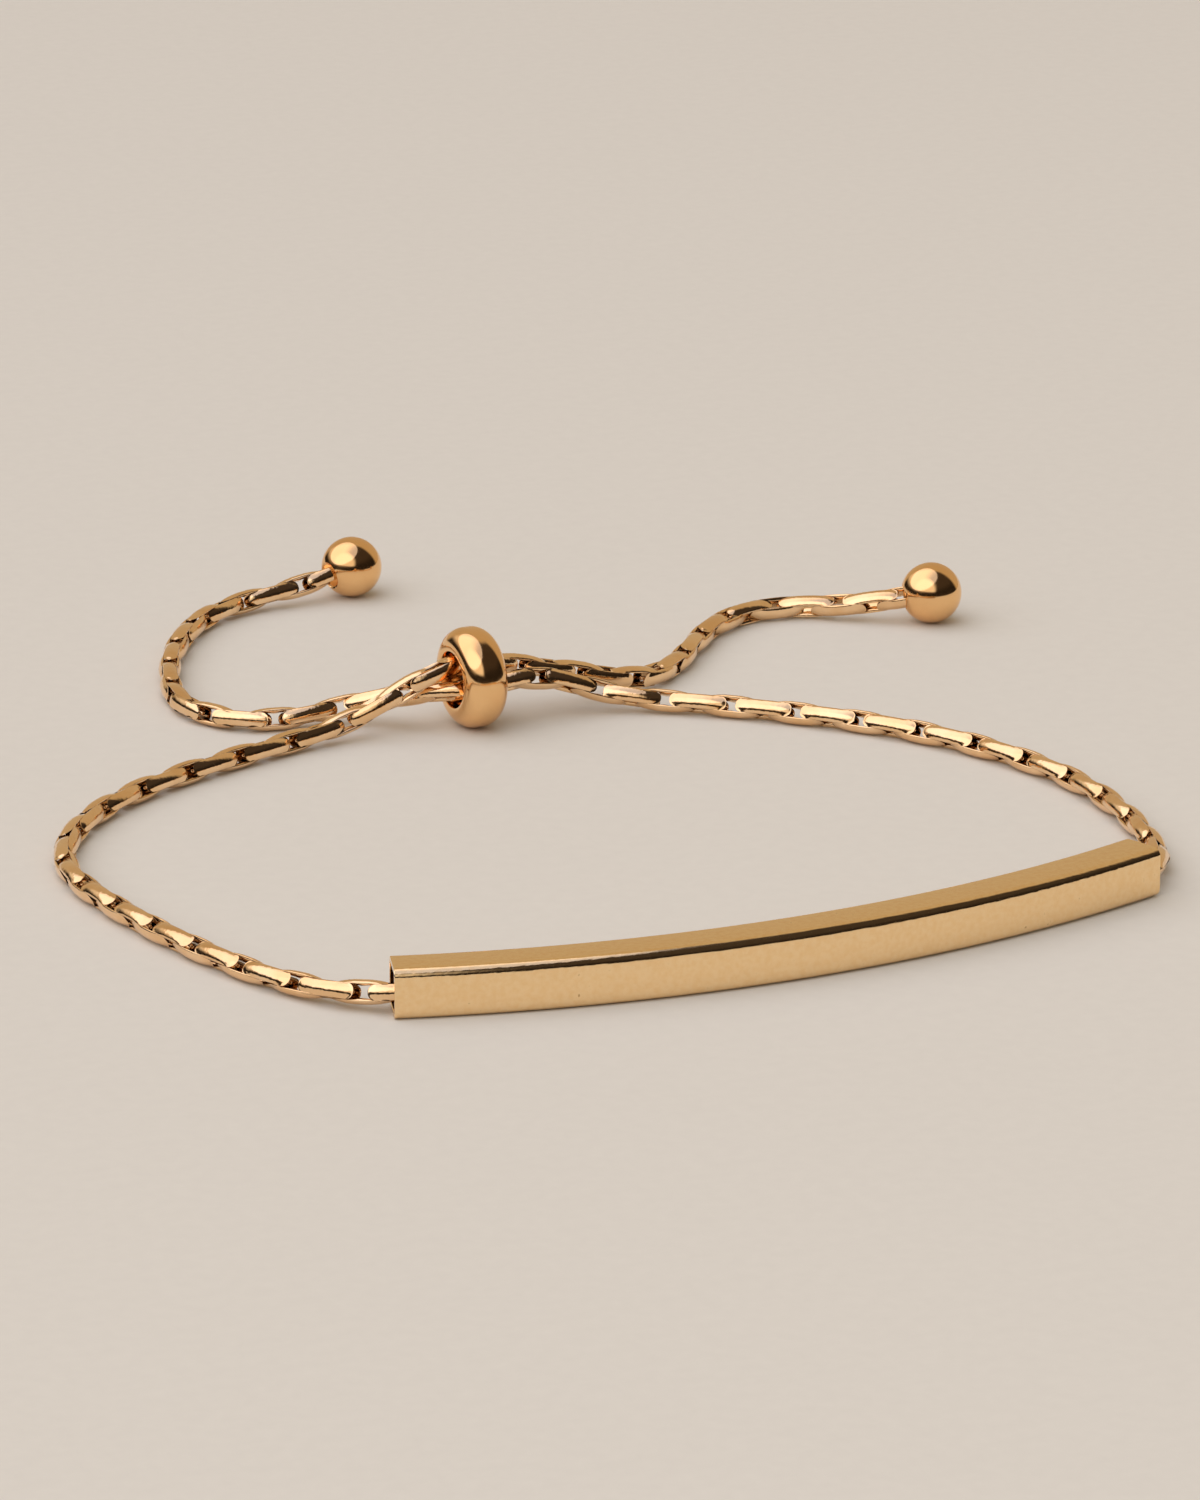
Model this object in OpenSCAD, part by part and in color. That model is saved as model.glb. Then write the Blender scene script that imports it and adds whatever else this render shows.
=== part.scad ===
// Bolo slider bracelet: a curved square tube threaded on one length of square-sided link chain.
// Both strands of the chain pass through a slider bead, and each free end finishes in a ball.
// The bracelet lies flat. The origin is under the middle of the tube, X runs along the tube,
// Y runs towards the slider bead and Z points up.

/* [Bar] */
// Height of the square tube
bar_height = 2.5; // [2:0.1:3]
// Depth of the square tube, front to back
bar_depth = 2.5; // [2:0.1:3]
// Wall thickness of the tube
bar_wall = 0.28; // [0.2:0.02:0.4]
// Radius of the tube's long outer edges
bar_edge_r = 0.3; // [0.1:0.05:0.4]
// Radius that the tube is bent to, at its centre line
bar_bend_r = 63; // [55:1:75]
// Angle that the tube spans
bar_angle = 37.2; // [30:0.2:40]

/* [Chain] */
// Width of the chain across its flats
chain_size = 1.2; // [1.1:0.02:1.3]
// Distance from one link's centre to the next
link_pitch = 1.79; // [1.77:0.01:1.84]
// Length of one link
link_length = 2.7; // [2.6:0.02:2.8]
// Width of the flat side of a link
pad_width = 0.68; // [0.6:0.02:0.7]
// Thickness of the flat side of a link
pad_thickness = 0.28; // [0.24:0.01:0.3]
// Width of the narrow bar that closes each end of a link
cross_width = 0.2; // [0.16:0.01:0.22]
// Thickness of that narrow bar along the link
cross_thickness = 0.22; // [0.18:0.01:0.24]
// Play between two linked end bars
link_play = 0.16; // [0.14:0.01:0.2]

/* [Slider bead] */
// Outer diameter of the slider bead
bead_d = 5.3; // [5:0.1:6]
// Length of the slider bead along its hole
bead_length = 2.4; // [2.3:0.1:3]
// Diameter of the hole that both strands share
bead_bore_d = 2.95; // [2.9:0.05:3.1]
// Radius of the bead's rounded rim
bead_rim_r = 1.05; // [0.8:0.05:1.1]

/* [End balls] */
// Diameter of each end ball
ball_d = 3.3; // [3:0.1:4]
// Diameter of the blind hole that takes the last link
ball_bore_d = 1.6; // [1.5:0.05:1.7]

/* [Hidden] */
gap = 0.15;
join = 0.02;
round_fn = 96;
chain_r = chain_size / 2;
lie_z = chain_r + 0.01;
tube_z = bar_wall + chain_r + gap;
tube_shift = 0.2;
ball_r = ball_d / 2;
bead_pos = [1.75, 41.5, bead_d / 2];

// Route of the chain from the tube's left end through the slider bead to the right ball.
// Columns: x, y and height of the chain's centre line.
left_route = [
  [-22.0, 4.8, 0.8],
  [-23.7, 7.8, lie_z],
  [-24.9, 11.3, lie_z],
  [-25.8, 15.1, lie_z],
  [-26.5, 19.1, lie_z],
  [-26.9, 23.2, lie_z],
  [-26.9, 27.2, lie_z],
  [-25.4, 31.2, lie_z],
  [-22.6, 34.7, lie_z],
  [-19.1, 37.3, lie_z],
  [-15.2, 39.1, lie_z],
  [-11.3, 40.5, lie_z],
  [-7.8, 41.5, lie_z],
  [-5.1, 42.1, 0.9],
  [-2.9, 41.8, 1.9],
  [-0.7, 41.5, 3.2],
  [1.75, 41.7, 3.55],
  [4.2, 42.4, 2.75],
  [6.8, 42.4, 2.2],
  [9.4, 42.6, 1.4],
  [12.2, 42.6, 0.7],
  [15.0, 44.4, lie_z],
  [17.4, 47.3, lie_z],
  [19.7, 49.9, lie_z],
  [22.4, 51.6, lie_z],
  [25.3, 51.7, lie_z],
  [27.5, 49.9, 0.75],
  [29.4, 48.3, 1.25],
  [31.9, 47.4, ball_r],
  [34.4, 46.5, 2.05]
];

// Route from the tube's right end through the slider bead to the left ball, same columns.
right_route = [
  [22.1, 4.7, 0.8],
  [23.4, 8.0, lie_z],
  [24.3, 11.6, lie_z],
  [24.8, 15.4, lie_z],
  [24.7, 19.4, lie_z],
  [23.8, 23.4, lie_z],
  [22.3, 27.2, lie_z],
  [20.1, 30.9, lie_z],
  [17.2, 34.3, lie_z],
  [14.1, 37.3, lie_z],
  [11.3, 39.5, 0.65],
  [8.9, 40.7, 1.0],
  [6.6, 41.0, 2.1],
  [4.2, 40.9, 2.55],
  [1.75, 41.0, 1.95],
  [-0.7, 42.35, 1.95],
  [-2.7, 43.9, 1.4],
  [-4.8, 45.1, 0.7],
  [-7.0, 44.9, lie_z],
  [-9.0, 45.4, lie_z],
  [-10.4, 46.8, lie_z],
  [-11.2, 48.8, lie_z],
  [-11.0, 51.4, lie_z],
  [-9.8, 54.8, lie_z],
  [-8.2, 58.1, lie_z],
  [-6.2, 61.1, lie_z],
  [-3.9, 63.7, lie_z],
  [-1.0, 65.1, 0.66],
  [1.7, 65.2, 0.9],
  [3.6, 65.1, 1.3],
  [5.6, 65.5, ball_r],
  [7.6, 65.9, 2.0]
];

// Turn of the links about the chain. Columns: distance from the tube's middle, angle.
roll_table = [
  [-120, -40], [-60, 28], [-36, 28], [-31, 39], [-27.4, 48], [-22.5, 70], [-20, 70],
  [20, 45], [50, 40], [64, 34], [78, 34], [115, -33], [120, -33]
];

// Smooth route: a spline through the hand-placed points and the tube's own arc
tube_steps = 10;
spline_steps = 12;

function reversed(list) = [for (i = [len(list) - 1:-1:0]) list[i]];
function tube_point(a) = let (r = bar_bend_r + tube_shift)
  [r * sin(a), bar_bend_r - r * cos(a), tube_z];
tube_route = [for (i = [0:tube_steps]) tube_point(bar_angle * (i / tube_steps - 0.5))];
anchors = concat(reversed(left_route), tube_route, right_route);

function spline(p0, p1, p2, p3, t) =
  (pow(1 - t, 3) * p0 + (3 * pow(t, 3) - 6 * t * t + 4) * p1
   + (3 * t + 3 * t * t - 3 * pow(t, 3) + 1) * p2 + pow(t, 3) * p3) / 6;
curve = [for (i = [1:len(anchors) - 3], j = [(i == 1 ? 0 : 1):spline_steps])
  spline(anchors[i - 1], anchors[i], anchors[i + 1], anchors[i + 2], j / spline_steps)];

function lengths(pts) = [for (i = 0, d = 0; i < len(pts);
  d = d + (i + 1 < len(pts) ? norm(pts[i + 1] - pts[i]) : 0), i = i + 1) d];
distance = lengths(curve);
table = [for (axis = [0:2]) [for (i = [0:len(curve) - 1]) [distance[i], curve[i][axis]]]];
function at(s) = [lookup(s, table[0]), lookup(s, table[1]), lookup(s, table[2])];

// A whole number of links between the two ball centres
tube_middle = distance[(len(left_route) - 1 + tube_steps / 2) * spline_steps];
half_length = link_length / 2;
first_s = half_length + gap;
last_s = distance[len(distance) - 1] - first_s;
link_steps = round((last_s - first_s) / link_pitch);
pitch = (last_s - first_s) / link_steps;
function link_s(i) = first_s + i * pitch;

// Place children with their X axis along the vector d and turned about it
module along(p, d, roll) {
  translate(p) rotate([0, -atan2(d[2], norm([d[0], d[1]])), atan2(d[1], d[0])]) rotate([roll, 0, 0]) children();
}

module rounded_rect(w, h, r) {
  square([w - 2 * r, h], center = true);
  square([w, h - 2 * r], center = true);
  for (x = [-1, 1], y = [-1, 1]) translate([x * (w / 2 - r), y * (h / 2 - r)]) circle(r, $fn = round_fn);
}

// Curved square tube, open at both ends
module bar_tube() {
  color("goldenrod")
    translate([0, bar_bend_r, bar_height / 2])
      rotate_extrude(angle = bar_angle, start = 270 - bar_angle / 2, $fn = 4 * round_fn)
        translate([bar_bend_r, 0]) difference() {
          rounded_rect(bar_depth, bar_height, bar_edge_r);
          square([bar_depth - 2 * bar_wall, bar_height - 2 * bar_wall], center = true);
        }
}

// Sizes of one link, worked out from the chain's sizes
window_half = chain_r - pad_thickness;
window_length = pitch + link_play;
pad_half = pad_width / 2;
pad_corner = sqrt(chain_r * chain_r - pad_half * pad_half);
pad_inner_half = cross_width / 2;
end_half = 0.44;
belly_half = 0.65;
pad_taper = 0.45;
pad_end_half = 0.12;

// Link seen from above its window: tapered outside, window and notched ends
module link_outline() {
  cross_x = window_length / 2 + cross_thickness;
  difference() {
    polygon([[-half_length, -end_half], [-belly_half, -chain_r], [belly_half, -chain_r], [half_length, -end_half],
             [half_length, end_half], [belly_half, chain_r], [-belly_half, chain_r], [-half_length, end_half]]);
    square([window_length, 2 * window_half], center = true);
    for (x = [-1, 1]) translate([x * (cross_x + chain_r), 0]) square([chain_size, 2 * window_half], center = true);
  }
}

// Flat side of a link seen from the front, with tapered ends
module pad_outline() {
  taper_x = half_length - pad_taper;
  polygon([[-half_length, -pad_end_half], [-taper_x, -pad_half], [taper_x, -pad_half], [half_length, -pad_end_half],
           [half_length, pad_end_half], [taper_x, pad_half], [-taper_x, pad_half], [-half_length, pad_end_half]]);
}

// Cross-section of a link: two rounded wedges joined by the narrow end bars
module link_section() {
  intersection() {
    circle(chain_r, $fn = round_fn);
    union() {
      square([2 * window_half + join, cross_width], center = true);
      for (side = [0, 180]) rotate(side) polygon([[window_half, -pad_inner_half], [pad_corner, -pad_half],
        [chain_size, -pad_half], [chain_size, pad_half], [pad_corner, pad_half], [window_half, pad_inner_half]]);
    }
  }
}

// One link with its length along X and its window facing up
module chain_link() {
  intersection() {
    rotate([90, 0, 90]) linear_extrude(2 * link_length, center = true) link_section();
    rotate([90, 0, 0]) linear_extrude(2 * chain_size, center = true) pad_outline();
    linear_extrude(2 * chain_size, center = true) link_outline();
  }
}

// Interlocked links, each turned a quarter turn from its neighbours
module chain() {
  color("gold")
    for (i = [0:link_steps]) {
      s = link_s(i);
      from = at(s - pitch / 2);
      to = at(s + pitch / 2);
      quarter = 90 * (i % 2);
      along((from + to) / 2, to - from, lookup(s - tube_middle, roll_table) + quarter) chain_link();
    }
}

// Round slider bead standing on its rim, with one hole for both strands
module slider_bead() {
  wall = (bead_d - bead_bore_d) / 2;
  color("goldenrod")
    translate(bead_pos) rotate([0, 90, 0]) rotate_extrude($fn = round_fn)
      translate([bead_bore_d / 2, 0]) intersection() {
        translate([0, -bead_length / 2]) square([wall, bead_length]);
        union() {
          translate([-wall, -bead_length / 2]) square([2 * wall - bead_rim_r, bead_length]);
          translate([-wall, bead_rim_r - bead_length / 2]) square([2 * wall, bead_length - 2 * bead_rim_r]);
          for (y = [-1, 1]) translate([wall - bead_rim_r, y * (bead_length / 2 - bead_rim_r)])
            circle(bead_rim_r, $fn = round_fn);
        }
      }
}

// Ball on the end of the chain: it lies on the surface, and its blind hole takes the last link
module end_ball(centre, last) {
  color("goldenrod") difference() {
    translate(centre) sphere(ball_r, $fn = round_fn);
    along(centre, last - centre, 0) rotate([0, 90, 0]) cylinder(ball_d, d = ball_bore_d, $fn = round_fn);
  }
}

module end_ball_right() {
  end_ball(curve[0], at(first_s));
}

module end_ball_left() {
  end_ball(curve[len(curve) - 1], at(last_s));
}

bar_tube();
chain();
slider_bead();
end_ball_right();
end_ball_left();
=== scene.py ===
import math

import bpy
import numpy as np
from mathutils import Matrix, Vector


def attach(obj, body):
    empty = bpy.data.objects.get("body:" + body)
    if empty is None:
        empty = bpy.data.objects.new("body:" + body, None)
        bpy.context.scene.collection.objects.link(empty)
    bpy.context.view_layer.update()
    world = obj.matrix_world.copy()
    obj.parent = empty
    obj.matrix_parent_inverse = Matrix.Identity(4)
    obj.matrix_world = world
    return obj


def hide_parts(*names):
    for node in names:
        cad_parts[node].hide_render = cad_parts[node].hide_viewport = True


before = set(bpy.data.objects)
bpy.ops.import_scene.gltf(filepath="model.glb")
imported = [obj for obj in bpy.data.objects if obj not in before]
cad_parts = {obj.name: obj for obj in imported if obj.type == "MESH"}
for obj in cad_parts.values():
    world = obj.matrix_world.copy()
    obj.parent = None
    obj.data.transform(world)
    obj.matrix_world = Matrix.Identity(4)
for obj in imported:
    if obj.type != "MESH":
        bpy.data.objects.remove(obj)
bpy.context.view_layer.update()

# The bracelet's measures are in millimetres, those of the camera, floor and lights in metres
MM = 0.001

# Camera at the photograph's angle: 18 degrees above the surface, through a long lens
CAMERA_AT = Vector((-0.164459, -0.318565, 0.127495))
CAMERA_LOOK = Vector((0.41303, 0.85669, -0.30902)).normalized()
camera_data = bpy.data.cameras.new("camera")
camera_data.sensor_fit = "HORIZONTAL"
camera_data.sensor_width = 36
camera_data.lens = 240
camera_data.clip_start = 0.01
camera_data.clip_end = 50
camera = bpy.data.objects.new("camera", camera_data)
camera.location = CAMERA_AT
camera.rotation_euler = CAMERA_LOOK.to_track_quat("-Z", "Y").to_euler()
bpy.context.scene.collection.objects.link(camera)
bpy.context.scene.camera = camera
bpy.context.scene.view_settings.view_transform = "Standard"


# Nodes: helpers that add a node, a colour ramp or a mix to a material's or the world's tree
def feed(tree, node, inputs):
    """Gives each named input its value, or links it to the socket given."""
    for name, value in inputs.items():
        if isinstance(value, bpy.types.NodeSocket):
            tree.links.new(value, node.inputs[name])
        else:
            node.inputs[name].default_value = value


def add(tree, kind, inputs, **settings):
    """A new shader node with these settings and inputs."""
    node = tree.nodes.new("ShaderNode" + kind)
    for name, value in settings.items():
        setattr(node, name, value)
    feed(tree, node, inputs)
    return node


def noise(tree, vector, scale, detail, roughness=0.5):
    inputs = {"Vector": vector, "Scale": scale, "Detail": detail, "Roughness": roughness}
    return add(tree, "TexNoise", inputs).outputs["Fac"]


def color_ramp(tree, value, stops):
    """Colours by position; a new ramp has two stops already."""
    ramp = add(tree, "ValToRGB", {"Fac": value})
    elements = ramp.color_ramp.elements
    for element, (position, color) in zip(elements, stops[:2]):
        element.position = position
        element.color = (*color, 1)
    for position, color in stops[2:]:
        elements.new(position).color = (*color, 1)
    return ramp.outputs["Color"]


def map_range(tree, value, low, high, to_low=0.0, to_high=1.0, interpolation="LINEAR"):
    inputs = {"Value": value, "From Min": low, "From Max": high, "To Min": to_low, "To Max": to_high}
    return add(tree, "MapRange", inputs, interpolation_type=interpolation).outputs["Result"]


def mix(tree, first, second, share):
    """The first colour, turned into the second one by the share."""
    return add(tree, "Mix", {"A": first, "B": second, "Factor": share}, data_type="RGBA").outputs["Result"]


# Materials: polished gold with faint colour drift, fine brushing, small nicks and painted shade in the
# crevices
DRIFT_RANGE = (0.35, 0.62)
NICK_RANGE = (0.71, 0.76)
POLISH_FINER = 9
POLISH_RANGE = (0.3, 0.7)
SHADE_REACH_M = 0.0003
SHADE_OPENNESS_RANGE = (0.35, 0.80)
RIPPLE_HEIGHT_M = 0.000012


def new_material(name):
    material = bpy.data.materials.new(name)
    material.use_nodes = True
    return material, material.node_tree, material.node_tree.nodes["Principled BSDF"]


def gold(name, tone, deep, drift_scale, roughness, wear, ripple_scale, ripple, stretch=1.0, nicks=None,
         crevice_shade=None):
    """Gold that drifts from deep to tone, and whose roughness varies by the share wear."""
    material, tree, shader = new_material(name)
    place = add(tree, "TexCoord", {}).outputs["Object"]
    stops = list(zip(DRIFT_RANGE, (deep, tone)))
    if nicks:
        stops += zip(NICK_RANGE, (tone, nicks))
    color = color_ramp(tree, noise(tree, place, drift_scale, detail=5), stops)
    # Painted shade: where ambient occlusion finds surfaces close by, as in the gaps between links, the colour
    # is pulled towards a dark shade colour
    if crevice_shade:
        near = {"Distance": SHADE_REACH_M}
        openness = add(tree, "AmbientOcclusion", near, samples=6, only_local=True).outputs["AO"]
        color = mix(tree, (*crevice_shade, 1), color, map_range(tree, openness, *SHADE_OPENNESS_RANGE))
    polish = noise(tree, place, drift_scale * POLISH_FINER, detail=8, roughness=0.7)
    uneven = map_range(tree, polish, *POLISH_RANGE, roughness * (1 - wear), roughness * (1 + wear))
    drawn = add(tree, "Mapping", {"Vector": place, "Scale": (stretch, 1.0, 1.0)}).outputs["Vector"]
    waves = noise(tree, drawn, ripple_scale, detail=2)
    bumps = add(tree, "Bump", {"Height": waves, "Strength": ripple, "Distance": RIPPLE_HEIGHT_M})
    feed(tree, shader, {"Base Color": color, "Metallic": 1.0, "Roughness": uneven,
                        "Normal": bumps.outputs["Normal"]})
    return material


MATERIALS = {
    "bar_gold": gold("bar_gold", tone=(1.0, 0.73, 0.41), deep=(0.97, 0.67, 0.35), drift_scale=3600,
                     roughness=0.11, wear=0.5, ripple_scale=5000, ripple=0.8, stretch=0.12,
                     nicks=(0.60, 0.38, 0.17)),
    # The chain's colour is darkened by painted shade in the gaps between its links
    "chain_gold": gold("chain_gold", tone=(0.98, 0.69, 0.41), deep=(0.90, 0.58, 0.30), drift_scale=500,
                       roughness=0.10, wear=0.4, ripple_scale=3600, ripple=1.0, crevice_shade=(0.20, 0.10, 0.04)),
    "bead_gold": gold("bead_gold", tone=(0.97, 0.61, 0.29), deep=(0.92, 0.54, 0.24), drift_scale=300,
                      roughness=0.11, wear=0.4, ripple_scale=1600, ripple=0.25),
}


# Meshes: a visible piece that takes a CAD node's place, and the quads between two rings of points
def piece(name, node, slot, verts, faces, sharp_deg=None):
    """A smooth piece; edges that turn by more than sharp_deg stay sharp."""
    mesh = bpy.data.meshes.new(name)
    mesh.from_pydata((np.array(verts) * MM).tolist(), [], faces)
    mesh.validate()
    mesh.update()
    mesh.shade_smooth()
    if sharp_deg is not None:
        mesh.set_sharp_from_angle(angle=math.radians(sharp_deg))
    mesh.materials.append(MATERIALS[slot])
    obj = bpy.data.objects.new(name, mesh)
    bpy.context.scene.collection.objects.link(obj)
    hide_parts(node)
    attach(obj, "root")


def band(a, b, count):
    """Quads between two rings of count points, whose first points are a and b."""
    return [(a + j, b + j, b + (j + 1) % count, a + (j + 1) % count) for j in range(count)]


# Chain route: the same points as the CAD part
LIE_Z = 0.61
BALL_R = 1.65
PITCH = 1.79
LEFT = [
    (-22.0, 4.8, 0.8), (-23.7, 7.8, LIE_Z), (-24.9, 11.3, LIE_Z), (-25.8, 15.1, LIE_Z),
    (-26.5, 19.1, LIE_Z), (-26.9, 23.2, LIE_Z), (-26.9, 27.2, LIE_Z), (-25.4, 31.2, LIE_Z),
    (-22.6, 34.7, LIE_Z), (-19.1, 37.3, LIE_Z), (-15.2, 39.1, LIE_Z), (-11.3, 40.5, LIE_Z),
    (-7.8, 41.5, LIE_Z), (-5.1, 42.1, 0.9), (-2.9, 41.8, 1.9), (-0.7, 41.5, 3.2), (1.75, 41.7, 3.55),
    (4.2, 42.4, 2.75), (6.8, 42.4, 2.2), (9.4, 42.6, 1.4), (12.2, 42.6, 0.7), (15.0, 44.4, LIE_Z),
    (17.4, 47.3, LIE_Z), (19.7, 49.9, LIE_Z), (22.4, 51.6, LIE_Z), (25.3, 51.7, LIE_Z),
    (27.5, 49.9, 0.75), (29.4, 48.3, 1.25), (31.9, 47.4, BALL_R), (34.4, 46.5, 2.05),
]
RIGHT = [
    (22.1, 4.7, 0.8), (23.4, 8.0, LIE_Z), (24.3, 11.6, LIE_Z), (24.8, 15.4, LIE_Z),
    (24.7, 19.4, LIE_Z), (23.8, 23.4, LIE_Z), (22.3, 27.2, LIE_Z), (20.1, 30.9, LIE_Z),
    (17.2, 34.3, LIE_Z), (14.1, 37.3, LIE_Z), (11.3, 39.5, 0.65), (8.9, 40.7, 1.0), (6.6, 41.0, 2.1),
    (4.2, 40.9, 2.55), (1.75, 41.0, 1.95), (-0.7, 42.35, 1.95), (-2.7, 43.9, 1.4), (-4.8, 45.1, 0.7),
    (-7.0, 44.9, LIE_Z), (-9.0, 45.4, LIE_Z), (-10.4, 46.8, LIE_Z), (-11.2, 48.8, LIE_Z),
    (-11.0, 51.4, LIE_Z), (-9.8, 54.8, LIE_Z), (-8.2, 58.1, LIE_Z), (-6.2, 61.1, LIE_Z),
    (-3.9, 63.7, LIE_Z), (-1.0, 65.1, 0.66), (1.7, 65.2, 0.9), (3.6, 65.1, 1.3), (5.6, 65.5, BALL_R),
    (7.6, 65.9, 2.0),
]
BEND_R = 63.0
BEND_DEG = 37.2
IN_TUBE_Z = 1.03
IN_TUBE_SHIFT = 0.2
IN_TUBE_POINTS = 11
STEPS = 12


def bent(radius, degrees, z):
    """The point this far round the tube's bend, counted from its middle."""
    a = math.radians(degrees)
    return radius * math.sin(a), BEND_R - radius * math.cos(a), z


def spline(p0, p1, p2, p3, t):
    """The point at share t of a stretch of a uniform cubic B-spline."""
    return ((1 - t) ** 3 * p0 + (3 * t ** 3 - 6 * t * t + 4) * p1
            + (3 * t + 3 * t * t - 3 * t ** 3 + 1) * p2 + t ** 3 * p3) / 6


in_tube = [bent(BEND_R + IN_TUBE_SHIFT, BEND_DEG * (i / (IN_TUBE_POINTS - 1) - 0.5), IN_TUBE_Z)
           for i in range(IN_TUBE_POINTS)]
anchors = np.array(LEFT[::-1] + in_tube + RIGHT)
curve = [spline(*anchors[0:4], 0)]
for i in range(1, len(anchors) - 2):
    curve += [spline(*anchors[i - 1:i + 3], j / STEPS) for j in range(1, STEPS + 1)]
curve = np.array(curve)
distance = np.concatenate([[0], np.cumsum(np.linalg.norm(np.diff(curve, axis=0), axis=1))])
tube_middle = distance[(len(LEFT) - 1 + IN_TUBE_POINTS // 2) * STEPS]


def route_at(s):
    """The route's point at the distance s from the right ball's middle."""
    return np.array([np.interp(s, distance, curve[:, k]) for k in range(3)])


# Links along the route: the first and last ones stand clear of the ends by the gap
LINK_HALF = 1.35
END_GAP = 0.15
first_s = LINK_HALF + END_GAP
last_s = distance[-1] - first_s

# The chain's roll in degrees, by the distance from the tube's middle, negative towards the right ball
ROLL = [(-120, -40), (-60, 28), (-36, 28), (-31, 39), (-27.4, 48), (-22.5, 70), (-20, 70), (20, 45), (50, 40),
        (64, 34), (78, 34), (115, -33), (120, -33)]
ROLL_AT, ROLL_DEG = zip(*ROLL)

# Link: two crowned pads, with their outer faces at +Y and -Y, joined by an end bar at each end
PAD_HALF = 1.53
PAD_HALF_WIDE = 0.40
PAD_HALF_X = [0, 0.4, 0.8, 1.13, 1.25, 1.36, 1.44, 1.495, 1.522, PAD_HALF]
PAD_X = [-x for x in PAD_HALF_X[:0:-1]] + PAD_HALF_X
OUTER_ACROSS = [-1, -0.95, -0.8, -0.55, -0.28, 0, 0.28, 0.55, 0.8, 0.95, 1]
INNER_ACROSS = [0.6, 0, -0.6]
INNER_WIDE = 0.8
OUTER_Y = 0.60
OUTER_FLAT = 0.3
OUTER_FALL = 0.18
OUTER_FALL_LENGTH = 1.18
OUTER_FALL_POWER = 1.8
INNER_Y = 0.36
INNER_SWELL = 0.08
INNER_SWELL_HALF = 0.45
CROWN_R = 0.56
END_POWER = 2.3
END_DROP = 0.05
EDGE_DROP = 0.04
TIP_DROP = 0.07
TIP_BELOW = 0.02
LEAST_THICK = 0.02
END_BAR_X = 1.28
END_BAR_BACK = 0.52
END_BAR_BACK_POWER = 1.5
END_BAR_SPAN = 0.38
END_BAR_R = 0.11
END_BAR_FLARE = 0.10
END_BAR_FLARE_POWER = 4
END_BAR_STATIONS = 9
END_BAR_SIDES = 8
LEAST_Z = 0.004


def pad(side):
    """A pad with round ends, at +Y for side 1 and at -Y for side -1, that is thickest at its middle."""
    verts, faces = [], []
    ring = len(OUTER_ACROSS) + len(INNER_ACROSS)
    for x in PAD_X:
        past = max(0.0, (abs(x) - (PAD_HALF - PAD_HALF_WIDE)) / PAD_HALF_WIDE)
        width = math.sqrt(max(0.0, 1 - past ** END_POWER))
        fall = max(0.0, abs(x) - OUTER_FLAT) / OUTER_FALL_LENGTH
        outer = OUTER_Y - OUTER_FALL * fall ** OUTER_FALL_POWER
        inner = INNER_Y - INNER_SWELL * math.exp(-(abs(x) / INNER_SWELL_HALF) ** 2)
        if width < TIP_BELOW:
            verts.append((x, side * (outer - TIP_DROP), 0))
            continue
        for t in OUTER_ACROSS:
            z = t * PAD_HALF_WIDE * width
            drop = CROWN_R - math.sqrt(CROWN_R ** 2 - z * z) + END_DROP * past ** 3
            if abs(t) == 1:
                drop += EDGE_DROP
            verts.append((x, side * max(inner + LEAST_THICK, outer - drop), z))
        for t in INNER_ACROSS:
            verts.append((x, side * inner, t * PAD_HALF_WIDE * width * INNER_WIDE))
    rings = len(PAD_X) - 2
    last = 1 + (rings - 1) * ring
    for i in range(rings - 1):
        faces += band(1 + i * ring, 1 + (i + 1) * ring, ring)
    for j in range(ring):
        k = (j + 1) % ring
        faces += [(0, 1 + j, 1 + k), (last + k, last + j, last + ring)]
    if side > 0:
        faces = [face[::-1] for face in faces]
    return verts, faces


def end_bar(side):
    """A bar from pad to pad, bent to a point and flared where it meets them."""
    verts, faces = [], []
    for i in range(END_BAR_STATIONS):
        t = i / (END_BAR_STATIONS - 1) * 2 - 1
        x = side * (END_BAR_X - END_BAR_BACK * abs(t) ** END_BAR_BACK_POWER)
        spread = END_BAR_R + END_BAR_FLARE * abs(t) ** END_BAR_FLARE_POWER
        for j in range(END_BAR_SIDES):
            a = 2 * math.pi * j / END_BAR_SIDES
            verts.append((x + END_BAR_R * math.cos(a), END_BAR_SPAN * t, spread * math.sin(a)))
    last = (END_BAR_STATIONS - 1) * END_BAR_SIDES
    for start in range(0, last, END_BAR_SIDES):
        faces += band(start, start + END_BAR_SIDES, END_BAR_SIDES)
    faces.append(tuple(range(END_BAR_SIDES)))
    faces.append(tuple(range(last, last + END_BAR_SIDES))[::-1])
    return verts, faces


def link():
    """Both pads and both end bars, with the link's middle at the origin and its length along X."""
    verts, faces = [], []
    for part_verts, part_faces in (pad(1), pad(-1), end_bar(1), end_bar(-1)):
        start = len(verts)
        verts += part_verts
        faces += [tuple(start + k for k in face) for face in part_faces]
    return np.array(verts), faces


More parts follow.
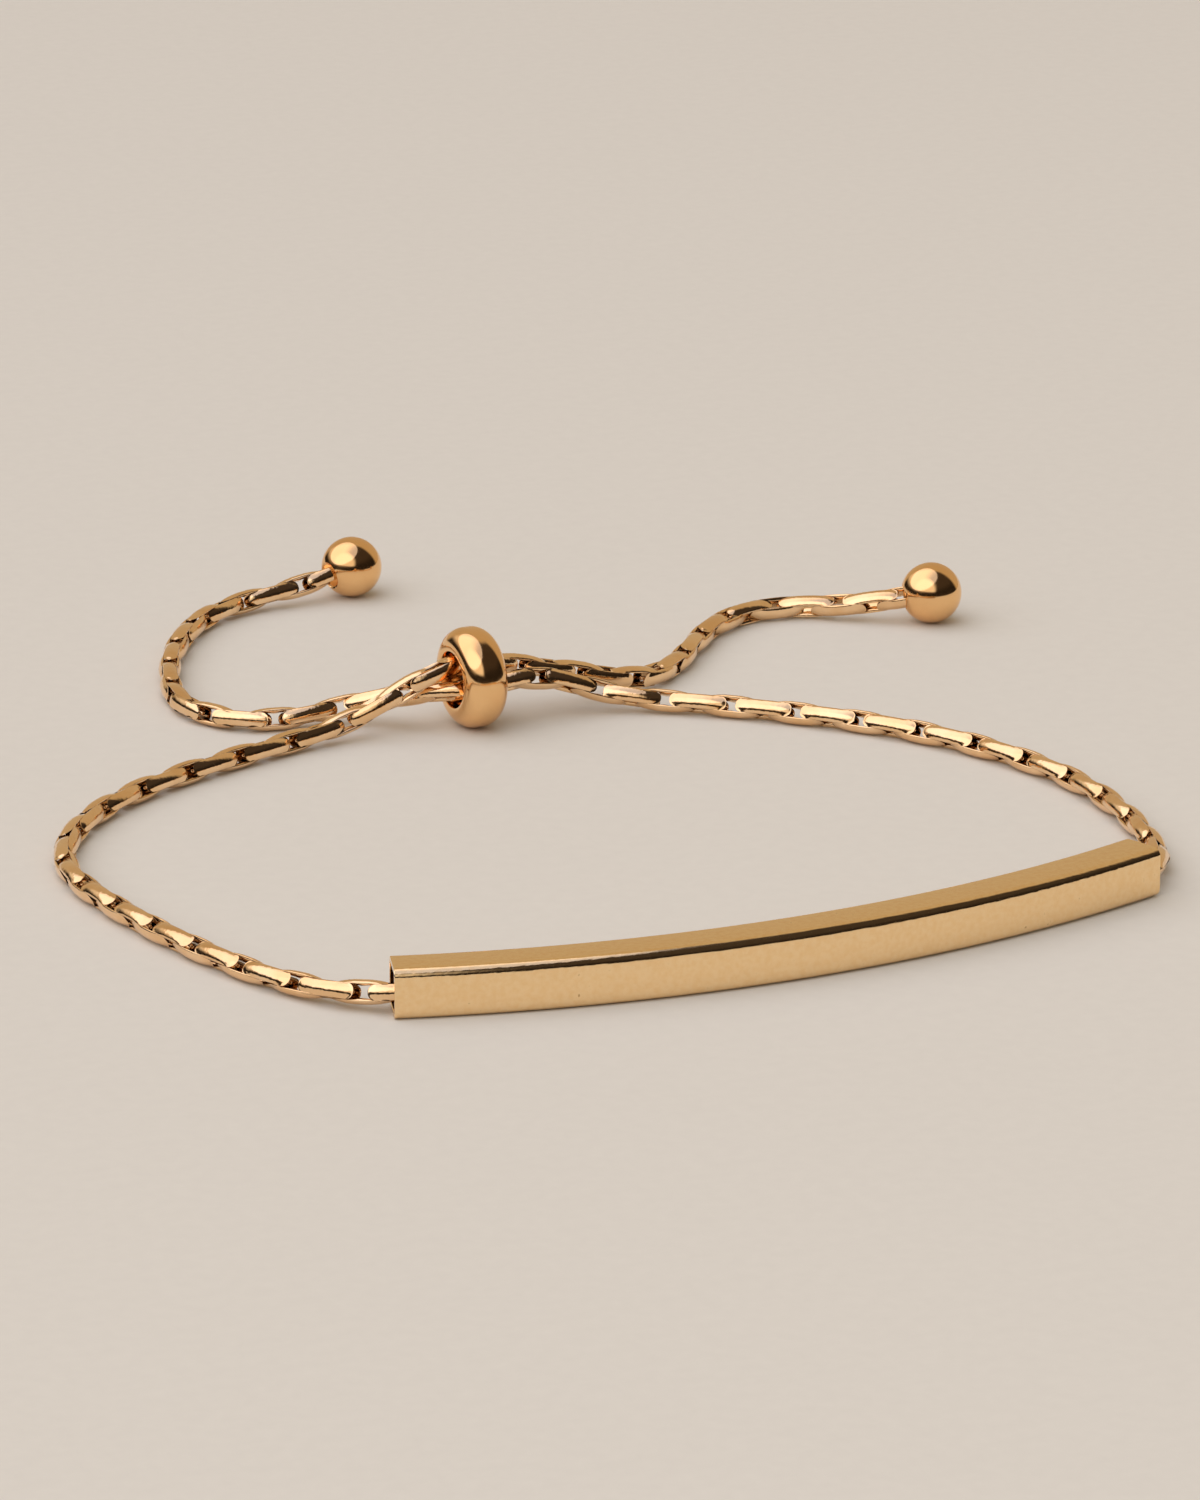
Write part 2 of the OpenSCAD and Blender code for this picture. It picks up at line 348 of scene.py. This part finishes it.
def chain_mesh():
    """Links an even pitch apart, each turned a quarter turn from the last and laid along the route."""
    link_verts, link_faces = link()
    steps = round((last_s - first_s) / PITCH)
    pitch = (last_s - first_s) / steps
    verts, faces = [], []
    for i in range(steps + 1):
        s = first_s + i * pitch
        a, b = route_at(s - pitch / 2), route_at(s + pitch / 2)
        run = (b - a) / np.linalg.norm(b - a)
        roll = math.radians(np.interp(s - tube_middle, ROLL_AT, ROLL_DEG) + 90 * (i % 2))
        heading = Matrix.Rotation(math.atan2(run[1], run[0]), 3, "Z")
        slope = Matrix.Rotation(-math.atan2(run[2], math.hypot(run[0], run[1])), 3, "Y")
        turn = heading @ slope @ Matrix.Rotation(roll, 3, "X")
        start = i * len(link_verts)
        verts.append(link_verts @ np.array(turn).T + (a + b) / 2)
        faces += [tuple(start + k for k in face) for face in link_faces]
    verts = np.concatenate(verts)
    verts[:, 2] = np.maximum(verts[:, 2], LEAST_Z)
    return verts, faces


piece("chain_links", "chain", "chain_gold", *chain_mesh())


# Square tube: an even sweep of one rounded section, with softly broken end edges
TUBE_WIDE = 2.5
TUBE_WALL = 0.28
TUBE_EDGE_R = 0.45
TUBE_INNER_EDGE_R = 0.04
TUBE_BREAK = 0.03
TUBE_CORNER_STEPS = 8
TUBE_STATIONS = 120
TUBE_SHARP_DEG = 35


def square_ring(half, radius):
    """The outline of a square with this half width and rounded corners."""
    pts = []
    for corner, (side_x, side_y) in enumerate([(1, 1), (-1, 1), (-1, -1), (1, -1)]):
        for i in range(TUBE_CORNER_STEPS + 1):
            a = math.radians(90 * corner + 90 * i / TUBE_CORNER_STEPS)
            pts.append((side_x * (half - radius) + radius * math.cos(a),
                        side_y * (half - radius) + radius * math.sin(a)))
    return pts


def tube_mesh():
    """Out along the outer faces and back along the bore; the end rings are drawn in by the break."""
    half = TUBE_WIDE / 2
    outer = square_ring(half, TUBE_EDGE_R)
    outer_end = square_ring(half - TUBE_BREAK, TUBE_EDGE_R - TUBE_BREAK)
    bore = square_ring(half - TUBE_WALL, TUBE_INNER_EDGE_R)
    bore_end = square_ring(half - TUBE_WALL + TUBE_BREAK, TUBE_INNER_EDGE_R + TUBE_BREAK)
    break_deg = math.degrees(TUBE_BREAK / BEND_R)
    stations = [-BEND_DEG / 2 + BEND_DEG * i / (TUBE_STATIONS - 1) for i in range(TUBE_STATIONS)]
    stations.insert(1, -BEND_DEG / 2 + break_deg)
    stations.insert(-1, BEND_DEG / 2 - break_deg)
    ends = (stations[0], stations[-1])
    loops = [(angle, outer_end if angle in ends else outer) for angle in stations]
    loops += [(angle, bore_end if angle in ends else bore) for angle in reversed(stations)]
    verts = [bent(BEND_R + u, angle, half + v) for angle, ring in loops for u, v in ring]
    faces = []
    for i in range(len(loops)):
        faces += band(i * len(outer), (i + 1) % len(loops) * len(outer), len(outer))
    return verts, faces


piece("square_tube", "bar_tube", "bar_gold", *tube_mesh(), TUBE_SHARP_DEG)


# Slider bead and end balls: profiles of points (along the hole, radius), turned about the hole
TURNED_SHARP_DEG = 40
BEAD_AT = (1.75, 41.5)
BEAD_R = 2.65
BEAD_HALF = 1.2
BEAD_BORE_R = 1.475
BEAD_BORE_END = 0.1
BEAD_BREAK = 0.03
BEAD_RIM_R = 1.05
BEAD_RIM_STEPS = 24
BEAD_FLAT_HALF = 0.05
BEAD_SIDES = 96
BALL_BORE_R = 0.76
BALL_STEPS = 32
BALL_SIDES = 64
POLE_R = 0.001
DISH_DEEP = 0.22
DISH_FLAT_R = 0.45
DISH_SLOPE_R = 0.64
DISH_RIM_R = 0.73
DISH_RIM_DEEP = 0.02


def revolved(profile, centre, axis, sides):
    """The closed profile, turned about the axis through the centre."""
    verts, faces = [], []
    turn = Vector(axis).normalized().to_track_quat("X", "Z").to_matrix()
    count = len(profile)
    for i in range(sides):
        a = 2 * math.pi * i / sides
        for x, r in profile:
            verts.append(tuple(turn @ Vector((x, r * math.cos(a), r * math.sin(a))) + Vector(centre)))
        quads = band(i * count, (i + 1) % sides * count, count)
        faces += [(first, fourth, third, second) for first, second, third, fourth in quads]
    return verts, faces


def bead_profile():
    """A straight bore with broken edges, and a full round rim on each side of a narrow flat."""
    half = [(BEAD_HALF - BEAD_BREAK, BEAD_BORE_R + BEAD_BREAK)]
    for i in range(BEAD_RIM_STEPS + 1):
        a = math.radians(90 * i / BEAD_RIM_STEPS)
        half.append((BEAD_HALF - BEAD_RIM_R + BEAD_RIM_R * math.cos(a),
                     BEAD_R - BEAD_RIM_R + BEAD_RIM_R * math.sin(a)))
    half.append((BEAD_FLAT_HALF, BEAD_R))
    bore_end = BEAD_HALF - BEAD_BORE_END
    bore = [(-bore_end, BEAD_BORE_R), (0, BEAD_BORE_R), (bore_end, BEAD_BORE_R)]
    return bore + half + [(-x, r) for x, r in reversed(half)]


def ball(name, node, centre, last_link):
    """A ball whose mouth faces the last link and is closed round it by a shallow dish."""
    mouth_angle = math.asin(BALL_BORE_R / BALL_R)
    mouth = BALL_R * math.cos(mouth_angle)
    profile = []
    for i in range(BALL_STEPS + 1):
        a = mouth_angle + (math.pi - mouth_angle) * i / BALL_STEPS
        profile.append((BALL_R * math.cos(a), max(BALL_R * math.sin(a), POLE_R)))
    profile += [(mouth - DISH_DEEP, POLE_R), (mouth - DISH_DEEP, DISH_FLAT_R),
                (mouth - DISH_DEEP / 2, DISH_SLOPE_R), (mouth - DISH_RIM_DEEP, DISH_RIM_R)]
    axis = np.array(last_link) - np.array(centre)
    piece(name, node, "bead_gold", *revolved(profile, centre, axis, BALL_SIDES), TURNED_SHARP_DEG)


bead_mesh = revolved(bead_profile(), (*BEAD_AT, BEAD_R), (1, 0, 0), BEAD_SIDES)
piece("bead", "slider_bead", "bead_gold", *bead_mesh, TURNED_SHARP_DEG)
ball("right_ball", "end_ball_right", curve[0], route_at(first_s))
ball("left_ball", "end_ball_left", curve[-1], route_at(last_s))


# Floor: plain pale paper with a very slight tone drift, just under the bracelet
FLOOR_SIZE_M = 6
FLOOR_Z_M = -0.00002
PAPER_DARK = (0.672, 0.643, 0.590)
PAPER_PALE = (0.715, 0.686, 0.629)
PAPER_GRAIN_SCALE = 1200
paper, tree, shader = new_material("floor_paper")
place = add(tree, "TexCoord", {}).outputs["Object"]
grain = noise(tree, place, PAPER_GRAIN_SCALE, detail=6)
paper_tone = color_ramp(tree, grain, [(0, PAPER_DARK), (1, PAPER_PALE)])
feed(tree, shader, {"Base Color": paper_tone, "Roughness": 0.85, "Specular IOR Level": 0.15})
bpy.ops.mesh.primitive_plane_add(size=FLOOR_SIZE_M, location=(0, 0, FLOOR_Z_M))
floor = bpy.context.object
floor.name = "floor"
floor.data.materials.append(paper)


# Light: a large soft box at the upper left, and a warm fill from the front that the gold doesn't mirror
LIT_POINT = Vector((0, 0.03, 0))


def disk_light(name, direction, distance_m, size_m, power_w, color, mirrored):
    data = bpy.data.lights.new(name, "AREA")
    data.shape = "DISK"
    data.size = size_m
    data.energy = power_w
    data.color = color
    obj = bpy.data.objects.new(name, data)
    away = Vector(direction).normalized()
    obj.location = away * distance_m + LIT_POINT
    obj.rotation_euler = away.to_track_quat("Z", "Y").to_euler()
    obj.visible_glossy = mirrored
    bpy.context.scene.collection.objects.link(obj)


disk_light("soft_box", (-0.47, 0.07, 0.88), distance_m=1.0, size_m=2.1, power_w=6.9, color=(1.0, 1.02, 1.25),
           mirrored=True)
disk_light("fill", (-0.05, -0.68, 0.73), distance_m=1.2, size_m=2.2, power_w=7.1, color=(1.0, 0.985, 0.89),
           mirrored=False)


# Room: dark, with a pale backdrop at the back left and glows at the back right and the front left
ROOM_LOW = (0.022, 0.017, 0.013, 1)
ROOM_HIGH = (0.05, 0.038, 0.029, 1)
BACKDROP = (0.80, 0.70, 0.57, 1)
BACKDROP_WAY = (-0.55, 0.83, 0.0)
RIGHT_GLOW = (0.52, 0.41, 0.26, 1)
RIGHT_GLOW_WAY = (0.62, 0.74, 0.25)
FRONT_GLOW = (0.95, 0.86, 0.75, 1)
FRONT_GLOW_WAY = (-0.75, -0.5, 0.43)

world = bpy.data.worlds.new("studio")
bpy.context.scene.world = world
world.use_nodes = True
room = world.node_tree
direction = add(room, "TexCoord", {}).outputs["Generated"]
height = add(room, "SeparateXYZ", {"Vector": direction}).outputs["Z"]


def rise(value, low, high):
    """0 up to low, 1 from high on, with a smooth step between them."""
    return map_range(room, value, low, high, interpolation="SMOOTHSTEP")


def facing(way):
    """Nearly the cosine of the angle between each direction and this way."""
    return add(room, "VectorMath", {0: direction, 1: way}, operation="DOT_PRODUCT").outputs["Value"]


def both(first, second):
    """The product of two shares."""
    return add(room, "Math", {0: first, 1: second}, operation="MULTIPLY").outputs["Value"]


color = mix(room, ROOM_LOW, ROOM_HIGH, rise(height, 0.25, 0.6))
color = mix(room, color, BACKDROP, both(rise(facing(BACKDROP_WAY), -0.25, 0.35), rise(height, 0.15, 0.42)))
color = mix(room, color, RIGHT_GLOW, rise(facing(RIGHT_GLOW_WAY), 0.49, 0.66))
color = mix(room, color, FRONT_GLOW, both(rise(facing(FRONT_GLOW_WAY), 0.66, 0.84), rise(height, 0.25, 0.36)))
feed(room, room.nodes["Background"], {"Color": color})
